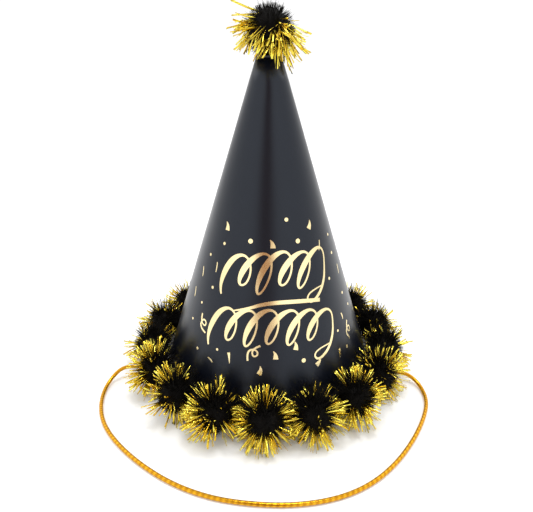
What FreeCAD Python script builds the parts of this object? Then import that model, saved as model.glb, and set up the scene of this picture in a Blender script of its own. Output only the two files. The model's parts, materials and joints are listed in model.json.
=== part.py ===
"""Cone party hat: a rolled card cone, a ring of glued pompoms, a tip pompom and a chin elastic.

Millimetres. +Z is up through the tip, the hat stands on the plane z = 0, and its printed face
looks along -Y. Azimuths are measured from -Y, positive towards +X.
"""
import FreeCAD, Part
import math
import os

from FreeCAD import Vector

# --- card cone ---
CONE_RIM_RADIUS = 69.3       # outside, at the rim
CONE_TIP_RADIUS = 7.1        # outside, where the tip is cut off
CONE_HEIGHT = 196.5
CARD_THICKNESS = 0.4
LAP_WIDTH = 10.0             # how far the inner end of the sheet runs under the outer one
SEAM_GLUE_THICKNESS = 0.2
SEAM_GLUE_DABS = 12          # one row up the lap
SEAM_GLUE_SPACE = 4.0        # bare card between two dabs
LAP_FOLD_WIDTH = 0.6         # where the sheet steps inwards to run under itself

# --- pompoms ---
POMPOM_RADIUS = 12.4         # dense part of a rim pompom, without the loose tinsel ends
POMPOM_LIFT = 1.3            # from the rim's level up to the bottom of the dense part
LEAST_POMPOM_GAP = 3.5       # between the dense parts of two neighbours
RING_TURN = -1.4             # degrees: azimuth of the first pompom
TIP_POMPOM_RADIUS = 13.9
TIE_LOOP_RADIUS = 2.6        # of the loop of thread round the middle of the fibres
TIE_THREAD_RADIUS = 0.5

# --- hot glue ---
GLUE_GAP = 0.3               # thinnest glue between a pompom and the card
GLUE_DOT_RADIUS = 4.5
TIP_GLUE_DEPTH = 9.0         # how far the glue reaches down into the cut tip

# --- chin elastic ---
ELASTIC_DIAMETER = 2.4
HOLE_CLEARANCE = 0.6         # between the elastic and the edge of its hole, all round
HOLE_HEIGHT = 5.0            # above the rim
HOLE_AZIMUTH = 74.0          # degrees: each hole is at the gap between pompoms nearest to this
KNOT_RADIUS = 2.6
KNOT_CLEARANCE = 0.3

# Route of the elastic: from the left knot out of its hole, between two pompoms, down to the
# table, forward in one wide loose bow, and back up to the right knot.
LYING = ELASTIC_DIAMETER / 2
ELASTIC_ROUTE = [
    (-62.6, -16.9, 5.0),
    (-69.0, -16.9, 5.0),
    (-78.0, -18.6, 5.0),
    (-87.0, -20.8, 7.0),
    (-94.8, -22.3, 7.4),
    (-100.4, -27.6, 4.0),
    (-103.2, -37.0, 1.6),
    (-102.4, -48.0, LYING),
    (-98.8, -60.5, LYING),
    (-91.8, -73.0, LYING),
    (-80.5, -86.0, LYING),
    (-65.5, -99.0, LYING),
    (-48.0, -110.5, LYING),
    (-28.5, -118.5, LYING),
    (-8.5, -122.0, LYING),
    (13.0, -122.7, LYING),
    (34.5, -118.8, LYING),
    (53.0, -109.8, LYING),
    (68.5, -96.0, LYING),
    (81.5, -79.5, LYING),
    (92.0, -62.0, LYING),
    (98.0, -47.0, LYING),
    (98.0, -34.5, 1.6),
    (93.6, -26.8, 4.0),
    (86.8, -24.4, 6.2),
    (78.0, -22.5, 5.2),
    (68.4, -20.1, 5.0),
    (61.8, -20.1, 5.0),
]
ARC_SHARE = 0.45             # part of the shorter run that an arc takes on each side of a corner

# --- worked out from the sizes above ---
SLOPE = math.atan2(CONE_RIM_RADIUS - CONE_TIP_RADIUS, CONE_HEIGHT)    # of the card's side, from upright
POMPOM_HEIGHT = POMPOM_LIFT + POMPOM_RADIUS                # of its centre above the rim
GLUED_DISTANCE = POMPOM_RADIUS + GLUE_GAP                  # pompom centre to the card's face
CUT_MARGIN = 20.0                                          # cutting tools overshoot by this much


def cone_radius(height):
    """Outside radius of the card at a height above the rim."""
    return CONE_RIM_RADIUS - height * math.tan(SLOPE)


RING_RADIUS = cone_radius(POMPOM_HEIGHT) + GLUED_DISTANCE / math.cos(SLOPE)
LEAST_SPACING = 2 * POMPOM_RADIUS + LEAST_POMPOM_GAP
POMPOM_COUNT = int(math.pi / math.asin(LEAST_SPACING / 2 / RING_RADIUS))
POMPOM_STEP = 360.0 / POMPOM_COUNT


def outward(azimuth):
    """Level unit vector away from the hat's axis."""
    turn = math.radians(azimuth)
    return Vector(math.sin(turn), -math.cos(turn), 0)


def cone_solid(inset):
    """The solid cone frustum whose side lies inset millimetres inside the card's outer face."""
    step = inset / math.cos(SLOPE)
    return Part.makeCone(CONE_RIM_RADIUS - step, CONE_TIP_RADIUS - step, CONE_HEIGHT)


def cone_layer(outer_inset, inner_inset):
    """A conical sheet between two insets."""
    return cone_solid(outer_inset).cut(cone_solid(inner_inset))


def back_strip(layer, x_low, x_high):
    """The part of a conical sheet at the back of the hat, between two upright planes."""
    box = Part.makeBox(x_high - x_low, CONE_RIM_RADIUS + CUT_MARGIN, CONE_HEIGHT + CUT_MARGIN,
                       Vector(x_low, 0, -CUT_MARGIN / 2))
    return layer.common(box)


# --- the holes and the axis that the elastic swings about ---
def gap_azimuth(side):
    """Azimuth of the gap between two pompoms nearest to the hole's, on side -1 (left) or +1."""
    steps = (side * HOLE_AZIMUTH - RING_TURN) / POMPOM_STEP
    return RING_TURN + (math.floor(steps) + 0.5) * POMPOM_STEP


def hole_centre(side):
    """Middle of the card's thickness, on the hole's axis."""
    middle = cone_radius(HOLE_HEIGHT) - CARD_THICKNESS / 2 / math.cos(SLOPE)
    return outward(gap_azimuth(side)) * middle + Vector(0, 0, HOLE_HEIGHT)


SWING_AXIS = (hole_centre(1) - hole_centre(-1)).normalize()


def knot_centre(side):
    """A knot sits inside the card on the swing axis, clear of the card by KNOT_CLEARANCE."""
    across = abs(SWING_AXIS.dot(outward(gap_azimuth(side)))) * math.cos(SLOPE)
    setback = (KNOT_RADIUS + KNOT_CLEARANCE + CARD_THICKNESS / 2) / across
    return hole_centre(side) - SWING_AXIS * (side * setback)


# --- card ---
def make_cone_card():
    """One sheet: the wall, a small step inwards, and the end that runs under the wall."""
    under = CARD_THICKNESS + SEAM_GLUE_THICKNESS
    wall = cone_layer(0, CARD_THICKNESS)
    fold = back_strip(cone_layer(CARD_THICKNESS, under), LAP_WIDTH / 2 - LAP_FOLD_WIDTH, LAP_WIDTH / 2)
    flap = back_strip(cone_layer(under, under + CARD_THICKNESS), -LAP_WIDTH / 2, LAP_WIDTH / 2)
    card = wall.fuse(fold).fuse(flap).removeSplitter()
    hole_radius = ELASTIC_DIAMETER / 2 + HOLE_CLEARANCE
    for side in (-1, 1):
        direction = outward(gap_azimuth(side))
        start = hole_centre(side) - direction * KNOT_RADIUS
        card = card.cut(Part.makeCylinder(hole_radius, 2 * KNOT_RADIUS, start, direction))
    return card


def make_seam_glue():
    """A row of flat glue dabs inside the lap, from the rim to the tip."""
    layer = cone_layer(CARD_THICKNESS, CARD_THICKNESS + SEAM_GLUE_THICKNESS)
    strip = back_strip(layer, -LAP_WIDTH / 2, LAP_WIDTH / 2 - LAP_FOLD_WIDTH)
    pitch = CONE_HEIGHT / SEAM_GLUE_DABS
    across = 2 * CONE_RIM_RADIUS
    dabs = []
    for index in range(SEAM_GLUE_DABS):
        slab = Part.makeBox(across, across, pitch - SEAM_GLUE_SPACE,
                            Vector(-across / 2, 0, index * pitch + SEAM_GLUE_SPACE / 2))
        dabs.append(strip.common(slab))
    return Part.makeCompound(dabs)


# --- pompoms ---
def ball_at(centre, radius):
    ball = Part.makeSphere(radius)
    ball.translate(centre)
    return ball


def tie_loop(centre, direction):
    return Part.makeTorus(TIE_LOOP_RADIUS, TIE_THREAD_RADIUS, centre, direction)


def rim_pompom_azimuth(index):
    return RING_TURN + index * POMPOM_STEP


def rim_pompom_centre(index):
    return outward(rim_pompom_azimuth(index)) * RING_RADIUS + Vector(0, 0, POMPOM_HEIGHT)


def make_glue_dot(index, card_body):
    """A dot of hot glue that fills the space between the card and one pompom."""
    centre = rim_pompom_centre(index)
    normal = outward(rim_pompom_azimuth(index)) * math.cos(SLOPE) + Vector(0, 0, math.sin(SLOPE))
    inside_card = centre - normal * (GLUED_DISTANCE + CARD_THICKNESS)
    reach = CARD_THICKNESS + GLUE_GAP + POMPOM_RADIUS / 4
    dot = Part.makeCylinder(GLUE_DOT_RADIUS, reach, inside_card, normal)
    return dot.cut(card_body).cut(ball_at(centre, POMPOM_RADIUS))


# --- tip ---
TIP_MOUTH_RADIUS = CONE_TIP_RADIUS - (2 * CARD_THICKNESS + SEAM_GLUE_THICKNESS) / math.cos(SLOPE)
TIP_SEAT = math.sqrt((TIP_POMPOM_RADIUS + GLUE_GAP) ** 2 - TIP_MOUTH_RADIUS ** 2)
TIP_POMPOM_CENTRE = Vector(0, 0, CONE_HEIGHT + TIP_SEAT)


def make_tip_glue_plug(card, seam_glue):
    """Glue that fills the cut tip and rises to the pompom that is pressed into it."""
    bottom = CONE_HEIGHT - TIP_GLUE_DEPTH
    below = Part.makeCone(cone_radius(bottom), CONE_TIP_RADIUS, TIP_GLUE_DEPTH, Vector(0, 0, bottom))
    above = Part.makeCylinder(CONE_TIP_RADIUS, TIP_SEAT, Vector(0, 0, CONE_HEIGHT))
    plug = below.fuse(above)
    for piece in (ball_at(TIP_POMPOM_CENTRE, TIP_POMPOM_RADIUS), card, seam_glue):
        plug = plug.cut(piece)
    return plug


# --- elastic ---
def rounded_path(route):
    """Straight runs joined by tangent arcs, and the radius of each arc."""
    points = [Vector(*point) for point in route]
    edges = []
    radii = []
    run_start = points[0]
    for before, corner, after in zip(points, points[1:], points[2:]):
        back = before - corner
        ahead = after - corner
        reach = ARC_SHARE * min(back.Length, ahead.Length)
        back.normalize()
        ahead.normalize()
        half_turn = (math.pi - back.getAngle(ahead)) / 2
        radius = reach / math.tan(half_turn)
        bisector = (back + ahead).normalize()
        arc_start = corner + back * reach
        arc_middle = corner + bisector * (math.hypot(reach, radius) - radius)
        arc_end = corner + ahead * reach
        edges.append(Part.LineSegment(run_start, arc_start).toShape())
        edges.append(Part.Arc(arc_start, arc_middle, arc_end).toShape())
        radii.append(radius)
        run_start = arc_end
    edges.append(Part.LineSegment(run_start, points[-1]).toShape())
    return Part.Wire(edges), radii


def make_elastic():
    path, radii = rounded_path(ELASTIC_ROUTE)
    start = Vector(*ELASTIC_ROUTE[0])
    section = Part.Wire(Part.makeCircle(ELASTIC_DIAMETER / 2, start, Vector(*ELASTIC_ROUTE[1]) - start))
    tube = path.makePipeShell([section], True, False)
    expected = math.pi * ELASTIC_DIAMETER ** 2 / 4 * path.Length
    print("elastic: length %.1f, volume %.1f against section x length %.1f"
          % (path.Length, tube.Volume, expected))
    print("elastic: arc radii", " ".join("%.1f" % radius for radius in radii))
    return tube


def main():
    os.makedirs("parts", exist_ok=True)
    nodes = {}
    nodes["cone_card"] = make_cone_card()
    nodes["seam_glue"] = make_seam_glue()

    card_body = cone_solid(0)
    ties = []
    dots = []
    for index in range(POMPOM_COUNT):
        centre = rim_pompom_centre(index)
        tie = tie_loop(centre, outward(rim_pompom_azimuth(index)))
        ties.append(tie)
        dots.append(make_glue_dot(index, card_body))
        nodes["pompom_%02d" % (index + 1)] = ball_at(centre, POMPOM_RADIUS).cut(tie)
    nodes["pompom_ties"] = Part.makeCompound(ties)
    nodes["glue_dots"] = Part.makeCompound(dots)

    tip_tie = tie_loop(TIP_POMPOM_CENTRE, Vector(0, 0, 1))
    nodes["tip_pompom_tie"] = tip_tie
    nodes["tip_pompom"] = ball_at(TIP_POMPOM_CENTRE, TIP_POMPOM_RADIUS).cut(tip_tie)
    nodes["tip_glue_plug"] = make_tip_glue_plug(nodes["cone_card"], nodes["seam_glue"])

    nodes["chin_elastic"] = make_elastic()
    nodes["elastic_knot_left"] = ball_at(knot_centre(-1), KNOT_RADIUS)
    nodes["elastic_knot_right"] = ball_at(knot_centre(1), KNOT_RADIUS)

    for name, shape in nodes.items():
        shape.exportStep("parts/%s.step" % name)
        print("%-20s solids %2d valid %s volume %.2f"
              % (name, len(shape.Solids), shape.isValid(), shape.Volume))
    print("swing axis through", hole_centre(-1), hole_centre(1), "direction", SWING_AXIS)
    print("pompoms %d, ring radius %.2f, tip pompom at z %.2f"
          % (POMPOM_COUNT, RING_RADIUS, TIP_POMPOM_CENTRE.z))


main()
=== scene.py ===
# %% [markdown]
# # A cone party hat with a pompom trim
#
# The hat is black card rolled into a cone, printed with gold foil, with black and gold
# pompoms glued round the rim and on the tip, and a gold elastic that goes under the chin.
# The measured parts come in as a fixed frame. Every piece made here is placed from the boxes
# of those parts, so that nothing has to be fitted by eye.

# %% Load the measured frame
import json
import math
import random

import bmesh
import bpy
from mathutils import Matrix, Vector


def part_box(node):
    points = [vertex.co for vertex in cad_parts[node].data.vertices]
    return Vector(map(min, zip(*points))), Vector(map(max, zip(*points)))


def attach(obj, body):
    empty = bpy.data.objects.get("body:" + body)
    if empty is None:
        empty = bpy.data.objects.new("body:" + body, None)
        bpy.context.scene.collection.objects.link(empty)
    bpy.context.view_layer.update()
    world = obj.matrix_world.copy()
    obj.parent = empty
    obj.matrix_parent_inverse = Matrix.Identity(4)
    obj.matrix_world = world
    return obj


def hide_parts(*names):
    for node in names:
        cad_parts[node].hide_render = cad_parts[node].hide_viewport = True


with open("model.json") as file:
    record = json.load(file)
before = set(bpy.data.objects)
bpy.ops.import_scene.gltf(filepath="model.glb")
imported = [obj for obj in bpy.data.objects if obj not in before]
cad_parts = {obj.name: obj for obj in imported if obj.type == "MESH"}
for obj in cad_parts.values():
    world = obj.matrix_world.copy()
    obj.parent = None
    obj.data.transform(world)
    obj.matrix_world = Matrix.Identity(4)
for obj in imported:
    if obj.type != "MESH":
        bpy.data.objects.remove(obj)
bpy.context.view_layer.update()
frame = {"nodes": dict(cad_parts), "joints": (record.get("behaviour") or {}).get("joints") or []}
MM = 0.001

# %% [markdown]
# Two small helpers serve every material. Paint charts give colours as sRGB hex values, but
# shaders work in linear light, so one function turns the first into the second. The other
# adds a node with its settings and its links in one call, which keeps node trees readable.


# %% Colour and node helpers
def linear(hex_colour):
    """An sRGB hex colour as the linear RGBA that shader sockets take."""
    parts = [int(hex_colour[i:i + 2], 16) / 255 for i in (1, 3, 5)]
    return [p / 12.92 if p <= 0.04045 else ((p + 0.055) / 1.055) ** 2.4 for p in parts] + [1.0]


def add_node(tree, kind, settings=None, links=None):
    """Add a node. A setting is a property of the node or, failing that, an input socket."""
    node = tree.nodes.new("ShaderNode" + kind)
    for name, value in (settings or {}).items():
        if isinstance(name, str) and hasattr(node, name):
            setattr(node, name, value)
        else:
            node.inputs[name].default_value = value
    for name, source in (links or {}).items():
        tree.links.new(source, node.inputs[name])
    return node


def start_material(name):
    """An empty node material. Returns the material and its tree."""
    material = bpy.data.materials.new(name)
    material.use_nodes = True
    material.node_tree.nodes.clear()
    return material, material.node_tree


def end_material(tree, settings, links):
    """Close a material with a Principled shader."""
    shader = add_node(tree, "BsdfPrincipled", settings, links)
    add_node(tree, "OutputMaterial", links={"Surface": shader.outputs[0]})


# %% [markdown]
# The camera stands level with the pompom on the tip and looks down at the hat, as a person at
# a table does. A 35 mm lens close up makes the cone taper more strongly than it really does,
# so the distance and the lens have to be right before anything else is judged.

# %% Camera
SENSOR_WIDTH = 36
FOCAL_LENGTH = 35.39212
CAMERA_PLACE = (0, -0.3023, 0.2176)
LOOKS_LEFT = 0.22
LOOKS_DOWN = 24.85
LEANS = 0.12
camera = bpy.data.objects.new("camera", bpy.data.cameras.new("camera"))
bpy.context.scene.collection.objects.link(camera)
camera.data.sensor_width = SENSOR_WIDTH
camera.data.lens = FOCAL_LENGTH
camera.data.clip_start = 0.01
camera.matrix_world = (Matrix.Translation(CAMERA_PLACE)
                       @ Matrix.Rotation(math.radians(LOOKS_LEFT), 4, "Z")
                       @ Matrix.Rotation(math.radians(90 - LOOKS_DOWN), 4, "X")
                       @ Matrix.Rotation(math.radians(LEANS), 4, "Z"))
bpy.context.scene.camera = camera
print("lens, mm:", round(camera.data.lens, 2))

# %% [markdown]
# The floor is one very large sheet of pale matt board. It is so large that its far edge is
# lost in the white surroundings.

# %% Floor
FLOOR_RADIUS = 12.0


def mesh_object(name, bm, *materials):
    """Turn a bmesh into an object at the origin, shaded smooth."""
    mesh = bpy.data.meshes.new(name)
    bm.to_mesh(mesh)
    bm.free()
    mesh.polygons.foreach_set("use_smooth", [True] * len(mesh.polygons))
    for material in materials:
        mesh.materials.append(material)
    obj = bpy.data.objects.new(name, mesh)
    bpy.context.scene.collection.objects.link(obj)
    return obj


pale_board, tree = start_material("pale matt board")
place = add_node(tree, "TexCoord")
mottle = add_node(tree, "TexNoise", {"Scale": 6.0, "Detail": 3.0}, {"Vector": place.outputs["Object"]})
tone = add_node(tree, "MapRange", {"To Min": 0.955, "To Max": 0.985}, {"Value": mottle.outputs[0]})
end_material(tree, {"Roughness": 0.9, "Specular IOR Level": 0.1}, {"Base Color": tone.outputs[0]})

bm = bmesh.new()
bmesh.ops.create_circle(bm, cap_ends=True, segments=96, radius=FLOOR_RADIUS)
floor = mesh_object("floor", bm, pale_board)
print("floor radius, m:", FLOOR_RADIUS)

# %% [markdown]
# Black satin card and metallic foil show mostly what is around them, so the light is planned
# as reflections. The surroundings glow white, a little dimmer overhead and towards the back,
# and are dark in one upright strip in front, where a person would stand. The strip gives the
# card its dark band and turns the middle of the foil from cream to copper. Only glossy
# reflections see this pattern. The camera and matt surfaces see plain white.

# %% Surroundings
STRIP_AZIMUTH = -5.0
STRIP_WIDTH = 12.0
STRIP_COLOUR = (0.26, 0.13, 0.08, 1)
FRONT_GLOW = 1.5
BACK_GLOW = 1.15
GLOW_FADES = (math.radians(35), math.radians(110))
CEILING = 0.7
CEILING_STARTS = (math.sin(math.radians(40)), math.sin(math.radians(62)))
PLAIN_GLOW = 1.07

world = bpy.data.worlds.new("studio")
bpy.context.scene.world = world
world.use_nodes = True
tree = world.node_tree
tree.nodes.clear()
direction = add_node(tree, "TexCoord")
parts = add_node(tree, "SeparateXYZ", links={0: direction.outputs["Generated"]})
to_front = add_node(tree, "Math", {"operation": "MULTIPLY", 1: -1.0}, {0: parts.outputs["Y"]})
azimuth = add_node(tree, "Math", {"operation": "ARCTAN2"}, {0: parts.outputs["X"], 1: to_front.outputs[0]})
from_strip = add_node(tree, "Math", {"operation": "SUBTRACT", 1: math.radians(STRIP_AZIMUTH)},
                      {0: azimuth.outputs[0]})
off_strip = add_node(tree, "Math", {"operation": "ABSOLUTE"}, {0: from_strip.outputs[0]})
open_share = add_node(tree, "MapRange", {"interpolation_type": "SMOOTHSTEP",
                                         "From Min": math.radians(STRIP_WIDTH * 0.4),
                                         "From Max": math.radians(STRIP_WIDTH * 2)},
                      {"Value": off_strip.outputs[0]})
glow = add_node(tree, "MapRange", {"interpolation_type": "SMOOTHSTEP",
                                   "From Min": GLOW_FADES[0], "From Max": GLOW_FADES[1],
                                   "To Min": FRONT_GLOW, "To Max": BACK_GLOW},
                {"Value": off_strip.outputs[0]})
tinted = add_node(tree, "Mix", {"data_type": "RGBA", 6: STRIP_COLOUR, 7: (1, 1, 1, 1)},
                  {0: open_share.outputs[0]})
ceiling = add_node(tree, "MapRange", {"interpolation_type": "SMOOTHSTEP",
                                      "From Min": CEILING_STARTS[0], "From Max": CEILING_STARTS[1],
                                      "To Min": 1.0, "To Max": CEILING}, {"Value": parts.outputs["Z"]})
strength = add_node(tree, "Math", {"operation": "MULTIPLY"}, {0: glow.outputs[0], 1: ceiling.outputs[0]})
rays = add_node(tree, "LightPath")
mirrored = add_node(tree, "Background", links={"Color": tinted.outputs[2], "Strength": strength.outputs[0]})
plain = add_node(tree, "Background", {"Color": (1, 1, 1, 1), "Strength": PLAIN_GLOW})
both = add_node(tree, "MixShader", links={0: rays.outputs["Is Glossy Ray"], 1: plain.outputs[0],
                                          2: mirrored.outputs[0]})
add_node(tree, "OutputWorld", links={"Surface": both.outputs[0]})
bpy.context.scene.view_settings.view_transform = "Standard"
print("dark strip at azimuth", STRIP_AZIMUTH, "degrees")


# %% Soft lamps
def soft_lamp(name, place, aim, size, watts):
    """A square lamp that points at a spot on the hat."""
    data = bpy.data.lights.new(name, "AREA")
    data.size = size
    data.energy = watts
    lamp = bpy.data.objects.new(name, data)
    bpy.context.scene.collection.objects.link(lamp)
    lamp.location = place
    lamp.rotation_euler = (Vector(aim) - Vector(place)).to_track_quat("-Z", "Y").to_euler()


soft_lamp("lamp_top", (0.05, 0.1, 1.1), (0, 0, 0.05), 0.25, 4.0)
soft_lamp("lamp_left", (-0.7, 0.25, 0.85), (0, 0, 0.08), 0.7, 1.5)
soft_lamp("lamp_right", (0.7, 0.3, 0.85), (0, 0, 0.08), 0.7, 1.5)

# %% [markdown]
# The chin elastic is a round rubber core wound with gold metallic yarn, 2.4 mm thick. Both
# ends go into holes in the card, and the loop lies on the table in front. A cord like this
# has no corners, so its line is one smooth spline that a few chosen points pull into shape,
# and the tube is made from that line. The points are in millimetres.

# %% Line of the chin elastic
ELASTIC_DIAMETER = 2.4 * MM
ELASTIC_LENGTH = 384.1 * MM
LYING = ELASTIC_DIAMETER / 2 / MM
left_hole = Vector((-65.36, -16.88, 5.0)) * MM
right_hole = Vector((64.46, -20.06, 5.0)) * MM
elastic_route = [
    (-62.6, -16.9, 5.0), (-69.0, -16.9, 5.0), (-78.0, -18.6, 5.0), (-87.0, -20.8, 7.0),
    (-94.8, -22.3, 7.4), (-100.4, -27.6, 4.0), (-103.2, -37.0, 1.6), (-102.4, -48.0, LYING),
    (-98.8, -60.5, LYING), (-91.8, -73.0, LYING), (-80.5, -86.0, LYING), (-65.5, -99.0, LYING),
    (-48.0, -110.5, LYING), (-28.5, -118.5, LYING), (-8.5, -122.0, LYING), (13.0, -122.7, LYING),
    (34.5, -118.8, LYING), (53.0, -109.8, LYING), (68.5, -96.0, LYING), (81.5, -79.5, LYING),
    (92.0, -62.0, LYING), (98.0, -47.0, LYING), (98.0, -34.5, 1.6), (93.6, -26.8, 4.0),
    (86.8, -24.4, 6.2), (78.0, -22.5, 5.2), (68.4, -20.1, 5.0), (61.8, -20.1, 5.0)]


def smooth_line(name, points, closed=False):
    """A curve object whose line is one NURBS spline with these control points, in metres."""
    curve = bpy.data.curves.new(name, "CURVE")
    curve.dimensions = "3D"
    curve.resolution_u = 10
    spline = curve.splines.new("NURBS")
    spline.points.add(len(points) - 1)
    for control, point in zip(spline.points, points):
        control.co = (*point, 1)
    spline.order_u = 3
    spline.use_endpoint_u = not closed
    spline.use_cyclic_u = closed
    obj = bpy.data.objects.new(name, curve)
    bpy.context.scene.collection.objects.link(obj)
    return obj


elastic_line = smooth_line("elastic_line", [Vector(p) * MM for p in elastic_route])
bpy.context.view_layer.update()
elastic_path = [v.co.copy() for v in bpy.data.meshes.new_from_object(elastic_line).vertices]
print("line of the elastic, mm:",
      round(sum((b - a).length for a, b in zip(elastic_path, elastic_path[1:])) / MM, 1))

# %% [markdown]
# The yarn is a flat gold thread wound round and round the core, so the surface is a row of
# slanted ridges that catch the light one by one. Their colour is painted as well: deeper gold
# in the grooves and brighter gold on the crests, as painted shade and highlight. The tube's own
# UV map runs along and round it, so the ridges follow every bend. Real thread is about 0.4 mm
# wide, which is too fine to show, so the ridges are drawn 2.2 mm apart, and each leans by half
# of that as it goes round.

# %% Gold yarn
YARN_PITCH = 2.2 * MM
YARN_LEAN = 0.5
ONE_BAND_PER_UNIT = math.pi / 5   # the scale at which diagonal bands repeat once along each axis

wound_yarn, tree = start_material("wound gold metallic yarn")
place = add_node(tree, "UVMap")
turned = add_node(tree, "Mapping", {"Scale": (ELASTIC_LENGTH / YARN_PITCH, YARN_LEAN, 1.0)},
                  {"Vector": place.outputs[0]})
ridges = add_node(tree, "TexWave", {"bands_direction": "DIAGONAL", "Scale": ONE_BAND_PER_UNIT,
                                    "Distortion": 0.6, "Detail": 1.0}, {"Vector": turned.outputs[0]})
wear_place = add_node(tree, "TexCoord")
uneven = add_node(tree, "TexNoise", {"Scale": 260.0, "Detail": 2.0},
                  {"Vector": wear_place.outputs["Object"]})
# Deeper gold in the grooves and brighter gold on the crests of the ridges: painted shade and highlight that
# follow the winding.
painted_ridge_shading = add_node(tree, "Mix", {"data_type": "RGBA", 6: linear("#C8860E"), 7: linear("#EAB024")},
                 {0: ridges.outputs["Fac"]})
mixed = add_node(tree, "Mix", {"data_type": "RGBA", "blend_type": "MULTIPLY", 0: 0.2},
                 {6: painted_ridge_shading.outputs[2], 7: uneven.outputs["Fac"]})
bump = add_node(tree, "Bump", {"Strength": 0.1, "Distance": 0.06 * MM}, {"Height": ridges.outputs["Fac"]})
end_material(tree, {"Metallic": 0.85, "Roughness": 0.24},
             {"Base Color": mixed.outputs[2], "Normal": bump.outputs[0]})


# %% Tube of the chin elastic
def tube_object(name, line, radius, material):
    """A closed mesh tube round a line. The line itself is removed."""
    line.data.bevel_depth = radius
    line.data.bevel_resolution = 4
    line.data.use_fill_caps = True
    bpy.context.view_layer.update()
    mesh = bpy.data.meshes.new_from_object(line)
    mesh.name = name
    bm = bmesh.new()
    bm.from_mesh(mesh)
    bmesh.ops.remove_doubles(bm, verts=bm.verts, dist=1e-7)
    bmesh.ops.recalc_face_normals(bm, faces=bm.faces)
    bpy.data.objects.remove(line)
    return mesh_object(name, bm, material)


elastic = tube_object("gold_elastic_loop", elastic_line, ELASTIC_DIAMETER / 2, wound_yarn)
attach(elastic, "elastic")
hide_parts("chin_elastic")
print("elastic:", len(elastic.data.polygons), "faces")

# %% [markdown]
# Inside the card each end is tied in an overhand knot, which is too big for its hole. An
# overhand knot is a trefoil, and the pull of the elastic draws it into a tight little ball.

# %% Knots
KNOT_STRAND = 0.85 * MM
KNOT_SIZE = 0.66 * MM
KNOT_DEPTH = 1.2
KNOT_POINTS = 24
for node in ("elastic_knot_left", "elastic_knot_right"):
    low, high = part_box(node)
    centre = (low + high) / 2
    points = []
    for step in range(KNOT_POINTS):
        t = 2 * math.pi * step / KNOT_POINTS
        points.append(centre + KNOT_SIZE * Vector((KNOT_DEPTH * math.sin(3 * t),
                                                   math.sin(t) + 2 * math.sin(2 * t),
                                                   math.cos(t) - 2 * math.cos(2 * t))))
    line = smooth_line(node + "_line", points, closed=True)
    knot = tube_object(node + "_tied", line, KNOT_STRAND, wound_yarn)
    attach(knot, "elastic")
    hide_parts(node)

# %% [markdown]
# The cone starts as a flat sheet. Its left and right edges run side by side, so that the seam
# is as wide at the tip as at the rim. Modelling it flat and then rolling it, as the maker
# does, gives the overlap at the back for free: the last ten millimetres go over the first
# ten, and the sheet drops by its own thickness and the glue's where it goes under itself.

# %% Sizes of the cone
low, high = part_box("cone_card")
RIM_RADIUS = (high.x - low.x) / 2
TIP_RADIUS = 7.1 * MM
CARD_HEIGHT = high.z
CARD = 0.4 * MM
GLUE = 0.2 * MM
LAP = 10.0 * MM
SLOPE = math.atan2(RIM_RADIUS - TIP_RADIUS, CARD_HEIGHT)
print("rim radius %.1f mm, height %.1f mm, slope %.2f degrees"
      % (RIM_RADIUS / MM, CARD_HEIGHT / MM, math.degrees(SLOPE)))


def on_cone(azimuth, height, lift):
    """The point lift above the card's outer face. Azimuth 0 is the front, and grows rightwards."""
    radius = RIM_RADIUS - height * math.tan(SLOPE) + lift * math.cos(SLOPE)
    return Vector((radius * math.sin(azimuth), -radius * math.cos(azimuth),
                   height + lift * math.sin(SLOPE)))


# %% Flat sheet, rolled
RAMP = 2.0 * MM
COLUMNS = 300
ROWS = 16
FLAP_DEPTH = CARD + GLUE
FLAP_END = LAP + RAMP
FLAP_SHARE = 0.1   # the share of the columns that the flap gets, to make its step smooth


def depth_at(along):
    """How deep the sheet's black face lies, at a distance along it from its inner end."""
    share = min(max((along - LAP) / RAMP, 0), 1)
    return FLAP_DEPTH * (1 - share * share * (3 - 2 * share))


bm = bmesh.new()
bmesh.ops.create_grid(bm, x_segments=COLUMNS, y_segments=ROWS, size=0.5)
for v in bm.verts:
    across, up = v.co.x + 0.5, v.co.y + 0.5
    height = up * CARD_HEIGHT
    radius = RIM_RADIUS - height * math.tan(SLOPE)
    if across < FLAP_SHARE:
        along = across / FLAP_SHARE * FLAP_END
    else:
        around = 2 * math.pi * radius + LAP - FLAP_END
        along = FLAP_END + (across - FLAP_SHARE) / (1 - FLAP_SHARE) * around
    azimuth = math.pi + (LAP / 2 - along) / radius
    v.co = on_cone(azimuth, height, -depth_at(along))
bmesh.ops.recalc_face_normals(bm, faces=bm.faces)
outwards = sum(f.normal.dot(f.calc_center_median() * Vector((1, 1, 0))) for f in bm.faces)
if outwards < 0:
    bmesh.ops.reverse_faces(bm, faces=bm.faces)
print("sheet rolled:", len(bm.faces), "faces, outwards", outwards > 0)

# %% [markdown]
# The card is coated black on one side, with a satin finish: smooth, a little grey where it
# turns away from the eye, and with the faint grain of the paper under the coating. Its cut
# edges show the grey core. The inside is the same card without its coating, so it is duller.

# %% Card finishes
GRAIN = 0.5 * MM

satin_card, tree = start_material("black satin coated card")
place = add_node(tree, "TexCoord")
grain = add_node(tree, "TexNoise", {"Scale": 1 / GRAIN, "Detail": 4.0, "Roughness": 0.6},
                 {"Vector": place.outputs["Object"]})
cloud = add_node(tree, "TexNoise", {"Scale": 22.0, "Detail": 2.0}, {"Vector": place.outputs["Object"]})
colour = add_node(tree, "Mix", {"data_type": "RGBA", 6: linear("#0A0C14"), 7: linear("#10131C")},
                  {0: cloud.outputs["Fac"]})
gloss = add_node(tree, "MapRange", {"To Min": 0.25, "To Max": 0.33}, {"Value": grain.outputs["Fac"]})
bump = add_node(tree, "Bump", {"Strength": 0.25, "Distance": 0.02 * MM}, {"Height": grain.outputs["Fac"]})
end_material(tree, {"Specular IOR Level": 0.37, "Specular Tint": (0.82, 0.89, 1.0, 1)},
             {"Base Color": colour.outputs[2], "Roughness": gloss.outputs[0], "Normal": bump.outputs[0]})

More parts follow.
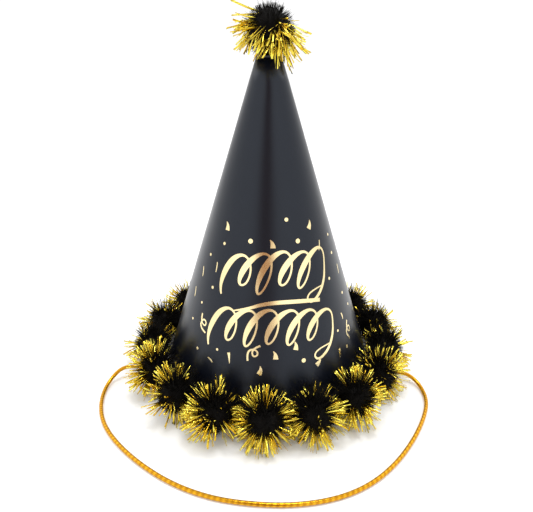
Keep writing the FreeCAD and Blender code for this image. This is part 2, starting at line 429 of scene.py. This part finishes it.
card_core, tree = start_material("grey card core, cut edge")
place = add_node(tree, "TexCoord")
fibres = add_node(tree, "TexNoise", {"Scale": 1800.0, "Detail": 3.0}, {"Vector": place.outputs["Object"]})
colour = add_node(tree, "Mix", {"data_type": "RGBA", 6: linear("#2A2A2C"), 7: linear("#4A4A4C")},
                  {0: fibres.outputs["Fac"]})
end_material(tree, {"Roughness": 0.85}, {"Base Color": colour.outputs[2]})

raw_card, tree = start_material("uncoated back of black card")
place = add_node(tree, "TexCoord")
fibres = add_node(tree, "TexNoise", {"Scale": 1 / GRAIN, "Detail": 5.0},
                  {"Vector": place.outputs["Object"]})
colour = add_node(tree, "Mix", {"data_type": "RGBA", 6: linear("#151517"), 7: linear("#242427")},
                  {0: fibres.outputs["Fac"]})
bump = add_node(tree, "Bump", {"Strength": 0.4, "Distance": 0.03 * MM}, {"Height": fibres.outputs["Fac"]})
end_material(tree, {"Roughness": 0.8}, {"Base Color": colour.outputs[2], "Normal": bump.outputs[0]})

# %% Thickness of the card
bmesh.ops.solidify(bm, geom=bm.faces[:], thickness=CARD)
for v in bm.verts:
    v.co.z = max(v.co.z, 0)
bmesh.ops.recalc_face_normals(bm, faces=bm.faces)
card = mesh_object("rolled_card_cone", bm, satin_card, raw_card, card_core)
depths = [(RIM_RADIUS - math.hypot(v.co.x, v.co.y)) / MM for v in card.data.vertices if v.co.z == 0]
print("card at the rim lies %.2f to %.2f mm deep" % (min(depths), max(depths)))

# %% [markdown]
# Two punched holes let the elastic through, one on each side. A boolean modifier cuts them
# with round bars along the line from hole to hole, as a punch would. The faces are then sorted
# by the way they look: outwards is coated, inwards is raw, and anything else is a cut edge.

# %% Holes and finish of the card
HOLE_RADIUS = 1.8 * MM
PUNCH_LENGTH = 6.0 * MM
FACING_LIMIT = 0.7
punch_turn = (right_hole - left_hole).to_track_quat("Z", "Y").to_matrix().to_4x4()
bm = bmesh.new()
for hole in (left_hole, right_hole):
    bmesh.ops.create_cone(bm, segments=32, radius1=HOLE_RADIUS, radius2=HOLE_RADIUS, depth=PUNCH_LENGTH,
                          cap_ends=True, matrix=Matrix.Translation(hole) @ punch_turn)
punch = mesh_object("punch", bm)
cut = card.modifiers.new("holes", "BOOLEAN")
cut.object = punch
cut.operation = "DIFFERENCE"
cut.solver = "EXACT"
bpy.context.view_layer.update()
punched = bpy.data.meshes.new_from_object(card.evaluated_get(bpy.context.evaluated_depsgraph_get()))
card.modifiers.clear()
card.data = punched
bpy.data.objects.remove(punch)
for face in punched.polygons:
    azimuth = math.atan2(face.center.x, -face.center.y)
    facing = face.normal.dot((on_cone(azimuth, 0, 1) - on_cone(azimuth, 0, 0)).normalized())
    face.material_index = 0 if facing > FACING_LIMIT else 1 if facing < -FACING_LIMIT else 2
    face.use_smooth = abs(facing) > FACING_LIMIT
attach(card, "hat")
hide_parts("cone_card")
print("card:", len(punched.polygons), "faces, of which cut edge",
      sum(f.material_index == 2 for f in punched.polygons))

# %% [markdown]
# The print is hot-stamped foil: a pale gold metal film, a few thousandths of a millimetre
# thick, pressed on the card by a heated die while the sheet is still flat. So it is drawn
# flat, in millimetres, and then rolled on the cone. It is made 0.03 mm thick there, so that
# its edges catch a little light. Its strokes swell and thin like a brush's, which a curve does
# with a radius at each point. The design is plain party streamers and confetti.

# %% Foil finish
foil, tree = start_material("pale gold hot-stamped foil")
place = add_node(tree, "TexCoord")
grain = add_node(tree, "TexNoise", {"Scale": 1 / GRAIN, "Detail": 3.0}, {"Vector": place.outputs["Object"]})
colour = add_node(tree, "Mix", {"data_type": "RGBA", 6: linear("#F6DD9C"), 7: linear("#FFF0C4")},
                  {0: grain.outputs["Fac"]})
bump = add_node(tree, "Bump", {"Strength": 0.2, "Distance": 0.02 * MM}, {"Height": grain.outputs["Fac"]})
end_material(tree, {"Metallic": 1.0, "Roughness": 0.2},
             {"Base Color": colour.outputs[2], "Normal": bump.outputs[0]})

# %% Strokes
PRINT_HEIGHT = 70.0 * MM
APEX_HEIGHT = RIM_RADIUS / math.tan(SLOPE)
PRINT_REACH = (APEX_HEIGHT - PRINT_HEIGHT) / math.cos(SLOPE)
CURL_POINTS = 8
THIN = 0.55
SWELL = 1.4
SWELL_LAG = 0.3
CURL = {"loop": 5.6, "lean": 0.36}
flat_print = bmesh.new()


def stroke(points):
    """A flat brush stroke through (x, y, half width) points, in millimetres."""
    line = smooth_line("stroke", [(x, y, 0) for x, y, _ in points])
    line.data.twist_mode = "Z_UP"
    line.data.extrude = 1
    line.data.resolution_u = 7
    for control, (_, _, half_width) in zip(line.data.splines[0].points, points):
        control.radius = half_width
        control.tilt = math.pi / 2
    bpy.context.view_layer.update()
    mesh = bpy.data.meshes.new_from_object(line)
    flat_print.from_mesh(mesh)
    bpy.data.meshes.remove(mesh)
    bpy.data.objects.remove(line)


def streak(x, y, turn, shape):
    """A small stroke given about its own middle, turned and moved into place."""
    turn = math.radians(turn)
    c, s = math.cos(turn), math.sin(turn)
    stroke([(x + c * a - s * b, y + s * a + c * b, w) for a, b, w in shape])


def dot(x, y, size):
    """A round fleck of confetti."""
    bmesh.ops.create_circle(flat_print, cap_ends=True, segments=18, radius=size / 2,
                            matrix=Matrix.Translation((x, y, 0)))


def curled_ribbon(start, end, heights, loop, lean):
    """A ribbon that curls between two points, one turn per height. It is wide where it runs down."""
    points = []
    for step in range(CURL_POINTS * len(heights) + 1):
        turn, part = divmod(step, CURL_POINTS)
        here, after = (heights[min(turn + i, len(heights) - 1)] for i in (0, 1))
        phase = 2 * math.pi * part / CURL_POINTS
        up = -0.5 * math.cos(phase) * (here + (after - here) * part / CURL_POINTS)
        share = step / (CURL_POINTS * len(heights))
        x = start[0] + (end[0] - start[0]) * share - loop * math.sin(phase) + lean * up
        y = start[1] + (end[1] - start[1]) * share + up
        points.append((x, y, THIN + SWELL * max(0, math.sin(phase - SWELL_LAG)) ** 2))
    return points


upper_streamer = curled_ribbon((-24, 17), (34, 20), (26, 16, 28, 18, 24), **CURL)[:-2]
upper_streamer += [(36, 12, .9), (32, 4, .9), (26, -1, .7), (22.5, 2, .5), (26, 6.5, .45), (35, 9, .35)]
lower_streamer = curled_ribbon((-33, -14), (40, -14), (26, 18, 24, 20, 22, 18), **CURL)[:-2]
lower_streamer += [(42, -22, .9), (38, -30, .9), (31, -35, .7), (27.5, -32, .5), (31, -28, .45),
                   (40, -26, .35)]
bar = [(-21, -5, .25), (-12, -3.5, .8), (-2, 0, 1.1), (14, 1, 1.2), (32, 0.5, 1.1)]
for points in (upper_streamer, lower_streamer, bar):
    stroke(points)

wedge = [(-.6, 2.6, .1), (.2, 1.2, .7), (.3, -1, 1.3), (0, -2.4, 1.5)]
long_wedge = [(0, -3.2, .1), (.2, 0, .5), (0, 3.2, .9)]
dash = [(-.4, 3, .3), (.2, 0, .5), (-.2, -3, .25)]
tick = [(-1, 2, .3), (.6, .4, .7), (.8, -2, .2)]
curl = [(-5, -3, .55), (-4, 1, .55), (-1, 3, .5), (2.4, 1, .5), (1.6, -2, .5), (-1.6, -1.6, .45),
        (0, 3, .5), (5, 3, .6)]
for shape, spots in (
        (wedge, ((-25, 43, 0), (25, 44, -14), (2, 33.5, 14), (4, -30, 10), (16, -25, 0), (31, -36, -40),
                 (-4.5, -39, -14))),
        (long_wedge, ((-23, -33, 4), (48, -34, 2))),
        (dash, ((54, 17, 8), (-46, 15.5, -4), (-54, 2.5, -4), (33, 32, -8), (-32.5, 19, -12))),
        (tick, ((52.5, -12, 0), (-36, -36, 30))),
        (curl, ((-8, -29, 20), (-42, -15, 75), (59.5, -21, 70)))):
    for x, y, turn in spots:
        streak(x, y, turn, shape)
for x, y, size in ((-10, 35, 2.7), (17, 35, 2.7), (21, -34, 2.6), (10, 47, 2.2), (44, 38, 1.7),
                   (-27, 33, 1.8), (-39, 26, 1.7), (46.5, 27, 1.8), (41, 12, 1.8), (-35.5, 7, 1.8),
                   (-45, -3, 1.5), (56, 2, 1.8), (64, -6, 1.8), (-54, -14, 1.6), (47, -20, 1.6),
                   (-47, -31, 1.8), (-31, -29, 1.5), (56, -31, 2.0)):
    dot(x, y, size)
print("flat print:", len(flat_print.faces), "faces")

# %% [markdown]
# The confetti goes on round the sides and the back, where it is scattered instead of placed.
# On the flat sheet the cone is a fan, so a spot is given by its angle in the fan and its
# distance from the point that the fan opens from. Spots that land too close to another are
# dropped, which keeps the scatter even.

# %% Confetti round the back
FRONT_FAN = math.radians(27)
BACK_FAN = math.radians(51)
CONFETTI_BAND = (-48, 46)
DOT_SIZES = (1.6, 2.6)
APART = 13.0
TRIES = 1200
rng = random.Random(3)
spots = []
for _ in range(TRIES):
    fan = rng.uniform(FRONT_FAN, BACK_FAN) * rng.choice((-1, 1))
    reach = PRINT_REACH / MM + rng.uniform(*CONFETTI_BAND)
    x, y = reach * math.sin(fan), PRINT_REACH / MM - reach * math.cos(fan)
    if all(math.hypot(x - a, y - b) > APART for a, b in spots):
        spots.append((x, y))
        turn = math.degrees(fan) + rng.uniform(-30, 30)
        shape = rng.choice((wedge, long_wedge, dash, tick, curl, None, None))
        if shape:
            streak(x, y, turn, shape)
        else:
            dot(x, y, rng.uniform(*DOT_SIZES))
print("confetti round the back:", len(spots))

# %% [markdown]
# A long flat face can't follow the curve of the card, so the design in front is first cut into
# small cells. Its edges are marked as sharp, or its top would be shaded as if it were round.

# %% Roll the print on the card
CELL = 2.0
HALF_WIDTH = 70
HALF_HEIGHT = 50
SHARP = 0.5
FOIL_THICKNESS = 0.03 * MM
FOIL_LIFT = 0.01 * MM
for axis, reach in ((Vector((1, 0, 0)), HALF_WIDTH), (Vector((0, 1, 0)), HALF_HEIGHT)):
    for step in range(int(-reach / CELL), int(reach / CELL)):
        everything = flat_print.verts[:] + flat_print.edges[:] + flat_print.faces[:]
        bmesh.ops.bisect_plane(flat_print, geom=everything, dist=1e-4,
                               plane_co=axis * (step + 0.5) * CELL, plane_no=axis)
flat_print.normal_update()
thick = bmesh.ops.extrude_face_region(flat_print, geom=flat_print.faces[:], use_keep_orig=True)
top = [v for v in thick["geom"] if isinstance(v, bmesh.types.BMVert)]
bmesh.ops.translate(flat_print, vec=(0, 0, 1), verts=top)
bmesh.ops.recalc_face_normals(flat_print, faces=flat_print.faces)
for edge in flat_print.edges:
    edge.smooth = edge.calc_face_angle(0) < SHARP
for v in flat_print.verts:
    x, y = v.co.x * MM, v.co.y * MM
    reach = math.hypot(x, PRINT_REACH - y)
    azimuth = math.atan2(x, PRINT_REACH - y) / math.sin(SLOPE)
    v.co = on_cone(azimuth, APEX_HEIGHT - reach * math.cos(SLOPE), FOIL_LIFT + v.co.z * FOIL_THICKNESS)
print_piece = mesh_object("foil_print", flat_print, foil)
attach(print_piece, "hat")
print("foil print:", len(print_piece.data.polygons), "faces")

# %% [markdown]
# A pompom is a bundle of cut fibres tied in the middle, so that the ends spring out into a
# ball. Its fibres are modelled as what they are, about two thousand thin tapered needles on a
# dark core. One ball of needles takes a while to fill, so it is made once, with a radius of
# one, and each pompom gets a copy that is turned its own way.

# %% Black fibre
black_fibre, tree = start_material("black cut viscose fibre")
place = add_node(tree, "TexCoord")
flecks = add_node(tree, "TexNoise", {"Scale": 900.0, "Detail": 2.0}, {"Vector": place.outputs["Object"]})
colour = add_node(tree, "Mix", {"data_type": "RGBA", 6: linear("#020202"), 7: linear("#0E0B08")},
                  {0: flecks.outputs["Fac"]})
end_material(tree, {"Roughness": 0.6, "Specular IOR Level": 0.08}, {"Base Color": colour.outputs[2]})

# %% One ball of needles
FIBRES = 2200
FIBRE_WIDTH = 0.026
FIBRE_ROOT = 0.55
FIBRE_LEAN = 0.16
EVEN_LENGTHS = (0.40, 0.48)
LOOSE_LENGTHS = (0.48, 0.62)
EVEN_SHARE = 0.88
CORE_RADIUS = 0.8


def scatter(rng):
    """A random direction, even over the whole ball."""
    z = rng.uniform(-1, 1)
    turn = rng.uniform(0, 2 * math.pi)
    flat = math.sqrt(1 - z * z)
    return Vector((flat * math.cos(turn), flat * math.sin(turn), z))


def facing_along(direction):
    """The turn that points the z axis along a direction."""
    return direction.to_track_quat("Z", "Y").to_matrix().to_4x4()


def add_copy(bm, template, matrix):
    """Add a copy of a template mesh to a bmesh, moved by a matrix."""
    piece = template.copy()
    piece.transform(matrix)
    bm.from_mesh(piece)
    bpy.data.meshes.remove(piece)


bm = bmesh.new()
bmesh.ops.create_cone(bm, segments=3, radius1=0.5, radius2=0.16, depth=1, cap_ends=True)
bmesh.ops.translate(bm, vec=(0, 0, 0.5), verts=bm.verts)
needle = bpy.data.meshes.new("needle")
bm.to_mesh(needle)
bm.free()

rng = random.Random(11)
bm = bmesh.new()
bmesh.ops.create_icosphere(bm, subdivisions=3, radius=CORE_RADIUS)
for _ in range(FIBRES):
    towards = scatter(rng)
    lean = (towards + FIBRE_LEAN * scatter(rng)).normalized()
    length = rng.uniform(*(EVEN_LENGTHS if rng.random() < EVEN_SHARE else LOOSE_LENGTHS))
    add_copy(bm, needle, Matrix.Translation(towards * FIBRE_ROOT) @ facing_along(lean)
             @ Matrix.Diagonal((FIBRE_WIDTH, FIBRE_WIDTH, length, 1)))
fibre_ball = bpy.data.meshes.new("fibre_ball")
bm.to_mesh(fibre_ball)
bm.free()
print("ball of needles:", len(fibre_ball.polygons), "faces")

# %% [markdown]
# The gold in the trim is tinsel, flat strips cut from metallised film, from a quarter of a
# millimetre to a millimetre wide. They are tied in with the fibres, but longer, so they stand
# out round the pompom's waist like a wheel and leave both of its ends black. Each strip is one
# thin closed blade, bent and twisted a little, because it is the flat faces that throw single
# bright glints.

# %% Gold tinsel
gold_tinsel, tree = start_material("gold metallised film")
# Each strip's colour lies at random between a deep gold and a pale lemon. The film is one colour, so this
# spread is painted light: strips made brighter or darker as if they faced the lamps well or badly.
painted_strip_brightness = add_node(tree, "Attribute", {"attribute_name": "painted_strip_brightness"})
colour = add_node(tree, "Mix", {"data_type": "RGBA", 6: linear("#D6AC22"), 7: linear("#FFF368")},
                  {0: painted_strip_brightness.outputs["Fac"]})
place = add_node(tree, "TexCoord")
crinkle = add_node(tree, "TexNoise", {"Scale": 700.0, "Detail": 2.0}, {"Vector": place.outputs["Object"]})
bump = add_node(tree, "Bump", {"Strength": 0.35, "Distance": 0.1 * MM}, {"Height": crinkle.outputs["Fac"]})
end_material(tree, {"Metallic": 1.0, "Roughness": 0.16},
             {"Base Color": colour.outputs[2], "Normal": bump.outputs[0]})

# %% Blades of tinsel
BLADE_LENGTH = 13.0
BLADE_THICKNESS = 0.07
BLADE_CUTS = 3
blades = []
for bend, twist in ((0.004, 20), (0.010, -35), (0.018, 60), (-0.008, 90), (0.026, -15)):
    bm = bmesh.new()
    bmesh.ops.create_cube(bm, size=1)
    bmesh.ops.scale(bm, vec=(1, BLADE_THICKNESS, BLADE_LENGTH), verts=bm.verts)
    bmesh.ops.translate(bm, vec=(0, 0, BLADE_LENGTH / 2), verts=bm.verts)
    upright = [e for e in bm.edges if abs(e.verts[0].co.z - e.verts[1].co.z) > 1]
    bmesh.ops.subdivide_edges(bm, edges=upright, cuts=BLADE_CUTS, use_grid_fill=True)
    for v in bm.verts:
        turn = Matrix.Rotation(math.radians(twist) * v.co.z / BLADE_LENGTH, 3, "Z")
        v.co = turn @ v.co + Vector((0, bend * v.co.z ** 2, 0))
    blade = bpy.data.meshes.new("blade")
    bm.to_mesh(blade)
    bm.free()
    # Each strip carries one painted brightness value on all of its faces.
    blade.attributes.new("painted_strip_brightness", "FLOAT", "FACE")
    blades.append(blade)
print("blade:", len(blades[0].polygons), "faces, kinds", len(blades))

# %% Keep loose ends out of the card and the table
FLOOR_GAP = 0.2 * MM
CARD_GAP = 0.25 * MM


def above_card(point):
    """How far a point lies outside the card, or inside it if that is negative. Above it all is clear."""
    if point.z > CARD_HEIGHT:
        return math.inf
    return (math.hypot(point.x, point.y) - RIM_RADIUS) * math.cos(SLOPE) + point.z * math.sin(SLOPE)


def keep_clear(bm):
    """Press points that would enter the card or the table back to its surface."""
    for v in bm.verts:
        off = above_card(v.co)
        radius = math.hypot(v.co.x, v.co.y)
        if off < CARD_GAP and radius > MM:
            push = (CARD_GAP - off) * math.cos(SLOPE) / radius
            v.co.x += v.co.x * push
            v.co.y += v.co.y * push
            v.co.z += (CARD_GAP - off) * math.sin(SLOPE)
        v.co.z = max(v.co.z, FLOOR_GAP)


# %% [markdown]
# The elastic swings about a line through its two holes, and it would comb through any loose
# ends in its way. Seen in a half plane that turns with it, its path is one fixed line, so the
# cells near that line are marked once, each a millimetre wide. A point in a marked cell is in
# the way if the swing also reaches its angle. That angle is of the elastic's middle line, so a
# few strips may still touch its side at the two ends of the swing.

# %% Room for the elastic to swing
swing = frame["joints"][0]
SWING_PIVOT = Vector(swing["pos_m"])
SWING_AXIS = Vector(swing["axis"]).normalized()
SWING_ACROSS = SWING_AXIS.orthogonal().normalized()
SWING_START, SWING_END = swing["range_deg"]
NEAR_AXIS = 3.0
CLEAR_CELLS = 2


def swing_place(point):
    """A point's place along the swing axis and distance from it in mm, and its angle round it."""
    arm = (point - SWING_PIVOT) / MM
    along = arm.dot(SWING_AXIS)
    arm = arm - SWING_AXIS * along
    turn = math.degrees(math.atan2(arm.dot(SWING_AXIS.cross(SWING_ACROSS)), arm.dot(SWING_ACROSS)))
    return along, arm.length, turn


swept = {}
for point in elastic_path:
    along, away, turn = swing_place(point)
    for i in range(-CLEAR_CELLS, CLEAR_CELLS + 1):
        for j in range(-CLEAR_CELLS, CLEAR_CELLS + 1):
            if math.hypot(i, j) <= CLEAR_CELLS:
                swept[round(along) + i, round(away) + j] = turn


def in_the_way(point):
    """Whether the elastic passes through this point somewhere in its swing."""
    along, away, turn = swing_place(point)
    start = swept.get((round(along), round(away)))
    if start is None:
        return False
    return away < NEAR_AXIS or (turn - start - SWING_START) % 360 < SWING_END - SWING_START


print("cells that the elastic sweeps:", len(swept))

# %% One pompom
TUCK = 0.8
ANY_SPIN = 6.28
FUZZ_WIDTH = 0.45 * MM
FUZZ_ROOT = 0.4
FUZZ_SPREAD = 0.8
FUZZ_LENGTHS = (0.7, 1.3)
STRIPS_IN_BUNDLE = (2, 7)
STRAY_FAN = (-85, 85)
TURN_JITTER = 0.13
LEVEL_JITTER = 0.06
FAN_JITTER = 5
AIM_JITTER = 0.07


def make_fibres(node, centre, radius, turned, kind, rng):
    """The black ball of a pompom, with longer fuzz that leans up the card."""
    bm = bmesh.new()
    spin = Matrix.Rotation(rng.uniform(0, ANY_SPIN), 4, "Z")
    size = Matrix.Scale(radius * kind["ball"], 4)
    add_copy(bm, fibre_ball, Matrix.Translation(centre) @ turned @ spin @ size)
    azimuth = math.atan2(centre.x, -centre.y)
    up_the_card = (on_cone(azimuth, 1, 0) - on_cone(azimuth, 0, 0)).normalized()
    for _ in range(kind["fuzz"]):
        lean = (up_the_card + FUZZ_SPREAD * scatter(rng)).normalized()
        length = radius * rng.uniform(*FUZZ_LENGTHS)
        add_copy(bm, needle, Matrix.Translation(centre + lean * radius * FUZZ_ROOT) @ facing_along(lean)
                 @ Matrix.Diagonal((FUZZ_WIDTH, FUZZ_WIDTH, length, 1)))
    for v in bm.verts:
        if in_the_way(v.co):
            v.co = centre + (v.co - centre) * TUCK
    keep_clear(bm)
    return mesh_object(node + "_fibres", bm, black_fibre)


def make_tinsel(node, centre, radius, turned, kind, rng):
    """The gold strips of a pompom, in small bundles. Each bundle starts at a level along the
    axis, root away from it, and goes out at the angle of its fan to the plane square to it."""
    bm = bmesh.new()
    for _ in range(kind["bundles"]):
        bundle_turn = rng.uniform(0, 2 * math.pi)
        bundle_level = rng.uniform(*kind["level"])
        bundle_fan = rng.uniform(*(kind["fan"] if rng.random() > kind["stray"] else STRAY_FAN))
        for _ in range(rng.randint(*STRIPS_IN_BUNDLE)):
            turn = bundle_turn + rng.gauss(0, TURN_JITTER)
            level = bundle_level + rng.gauss(0, LEVEL_JITTER)
            rise = math.radians(bundle_fan + level * kind["spread"] + rng.gauss(0, FAN_JITTER))
            out = Vector((math.cos(turn) * math.cos(rise), math.sin(turn) * math.cos(rise), math.sin(rise)))
            root = Vector((math.cos(turn) * kind["root"], math.sin(turn) * kind["root"], level)) * radius
            reach = radius * rng.uniform(*kind["reach"])
            blade = rng.choice(blades)
            # A random painted brightness for this strip, standing in for how it faces the light.
            blade.attributes["painted_strip_brightness"].data.foreach_set("value", [rng.random()] * len(blade.polygons))
            size = Matrix.Diagonal((rng.choice(kind["widths"]) * MM, MM, reach / BLADE_LENGTH, 1))
            roll = Matrix.Rotation(rng.uniform(0, ANY_SPIN), 4, "Z")
            aim = facing_along((out + AIM_JITTER * scatter(rng)).normalized())
            tip = centre + turned.to_3x3() @ (root + out * reach)
            place = Matrix.Translation(centre) @ turned @ Matrix.Translation(root) @ aim @ roll @ size
            if above_card(tip) > kind["card_gap"] * MM:
                if not any(in_the_way(place @ v.co) for v in blade.vertices):
                    add_copy(bm, blade, place)
    keep_clear(bm)
    return mesh_object(node + "_tinsel", bm, gold_tinsel)


def make_pompom(node, axis, kind, rng):
    """Fibres and tinsel for one measured pompom, turned to an axis. In a kind, lengths are shares
    of the radius, angles are in degrees, and the widths and the card gap are in millimetres."""
    low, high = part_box(node)
    centre = (low + high) / 2
    radius = (high.z - low.z) / 2
    turned = facing_along(axis)
    fibres = make_fibres(node, centre, radius, turned, kind, rng)
    tinsel = make_tinsel(node, centre, radius, turned, kind, rng)
    for piece, slot in ((fibres, "pompom_fibre"), (tinsel, "gold_tinsel")):
        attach(piece, "hat")
    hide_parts(node)
    return len(fibres.data.polygons) + len(tinsel.data.polygons)


def pointing(turn, rise):
    """A unit vector at turn degrees from the front towards the right, and rise degrees up."""
    turn, rise = math.radians(turn), math.radians(rise)
    return Vector((math.sin(turn) * math.cos(rise), -math.cos(turn) * math.cos(rise), math.sin(rise)))


# %% [markdown]
# Seventeen pompoms go round the rim. The glue catches each of them at a different angle, so
# some show a black end with a full gold wheel round it, and others stand upright with a
# narrow gold belt. Their axes are chosen one by one, from the front towards the right and
# back round. The pompom on the tip wears its tinsel as a skirt, combed down over the cone.

# %% Rim pompoms
WHEEL = {"ball": 0.94, "fuzz": 260, "bundles": 66, "stray": 0.18, "level": (-0.42, 0.42), "fan": (-8, 8),
         "spread": 42, "root": 0.3, "reach": (0.90, 1.34), "widths": (0.25, 0.35, 0.45, 0.6, 0.85),
         "card_gap": 1.0}
BELT = {**WHEEL, "ball": 1.0, "bundles": 46, "level": (-0.22, 0.22), "fan": (-14, 14)}
SKIRT = {"ball": 1.0, "fuzz": 0, "bundles": 66, "stray": 0, "level": (-0.15, 0.5), "fan": (-75, -5),
         "spread": 0, "root": 0.55, "reach": (0.85, 1.3), "widths": (0.4, 0.6, 0.8, 1.1), "card_gap": 0.3}

rim_kinds = [WHEEL] * 4 + [BELT] * 10 + [WHEEL] * 3
rim_axes = [(0, 42), (-6, 44), (-45, 40), (-5, 14), (8, 76), (12, 72), (-30, 66), (170, 60), (180, 62),
            (190, 60), (200, 58), (10, 70), (0, 78), (5, 80), (58, 36), (60, 50), (32, 56)]
rng = random.Random(5)
faces = 0
for index, (kind, (turn, rise)) in enumerate(zip(rim_kinds, rim_axes)):
    faces += make_pompom("pompom_%02d" % (index + 1), pointing(turn, rise), kind, rng)
print("rim pompoms:", len(rim_axes), "with", faces, "faces")

# %% Tip pompom
faces = make_pompom("tip_pompom", pointing(75, 70), SKIRT, rng)
print("tip pompom:", faces, "faces")

# %% [markdown]
# Five measured pieces stay as they are, because their shapes are right: the hot glue in the
# seam, behind the pompoms and in the tip, and the threads that tie the pompoms. They only need
# their finishes. The glue is black, so that none shows on the black card, and it sets with a
# soft sheen and slow ripples.

# %% Glue and thread
black_glue, tree = start_material("black hot-melt glue")
place = add_node(tree, "TexCoord")
ripple = add_node(tree, "TexNoise", {"Scale": 350.0, "Detail": 2.0}, {"Vector": place.outputs["Object"]})
colour = add_node(tree, "Mix", {"data_type": "RGBA", 6: linear("#0B0B0C"), 7: linear("#1B1B1D")},
                  {0: ripple.outputs["Fac"]})
bump = add_node(tree, "Bump", {"Strength": 0.5, "Distance": 0.2 * MM}, {"Height": ripple.outputs["Fac"]})
end_material(tree, {"Roughness": 0.45, "IOR": 1.48},
             {"Base Color": colour.outputs[2], "Normal": bump.outputs[0]})

THREAD_TWIST = 1.0 * MM
tie_thread, tree = start_material("black twisted polyester thread")
place = add_node(tree, "TexCoord")
strands = add_node(tree, "TexWave",
                   {"bands_direction": "DIAGONAL", "Scale": ONE_BAND_PER_UNIT / THREAD_TWIST},
                   {"Vector": place.outputs["Object"]})
# Darker between the twisted strands and lighter on them: painted shade that follows the twist.
colour = add_node(tree, "Mix", {"data_type": "RGBA", 6: linear("#060606"), 7: linear("#202022")},
                  {0: strands.outputs["Fac"]})
bump = add_node(tree, "Bump", {"Strength": 0.6, "Distance": 0.08 * MM}, {"Height": strands.outputs["Fac"]})
end_material(tree, {"Roughness": 0.6}, {"Base Color": colour.outputs[2], "Normal": bump.outputs[0]})

for name, finish in (("seam_glue", black_glue), ("glue_dots", black_glue), ("tip_glue_plug", black_glue),
                     ("pompom_ties", tie_thread), ("tip_pompom_tie", tie_thread)):
    materials = frame["nodes"][name].data.materials
    materials.clear()
    materials.append(finish)
    print(name, "is finished with", finish.name)
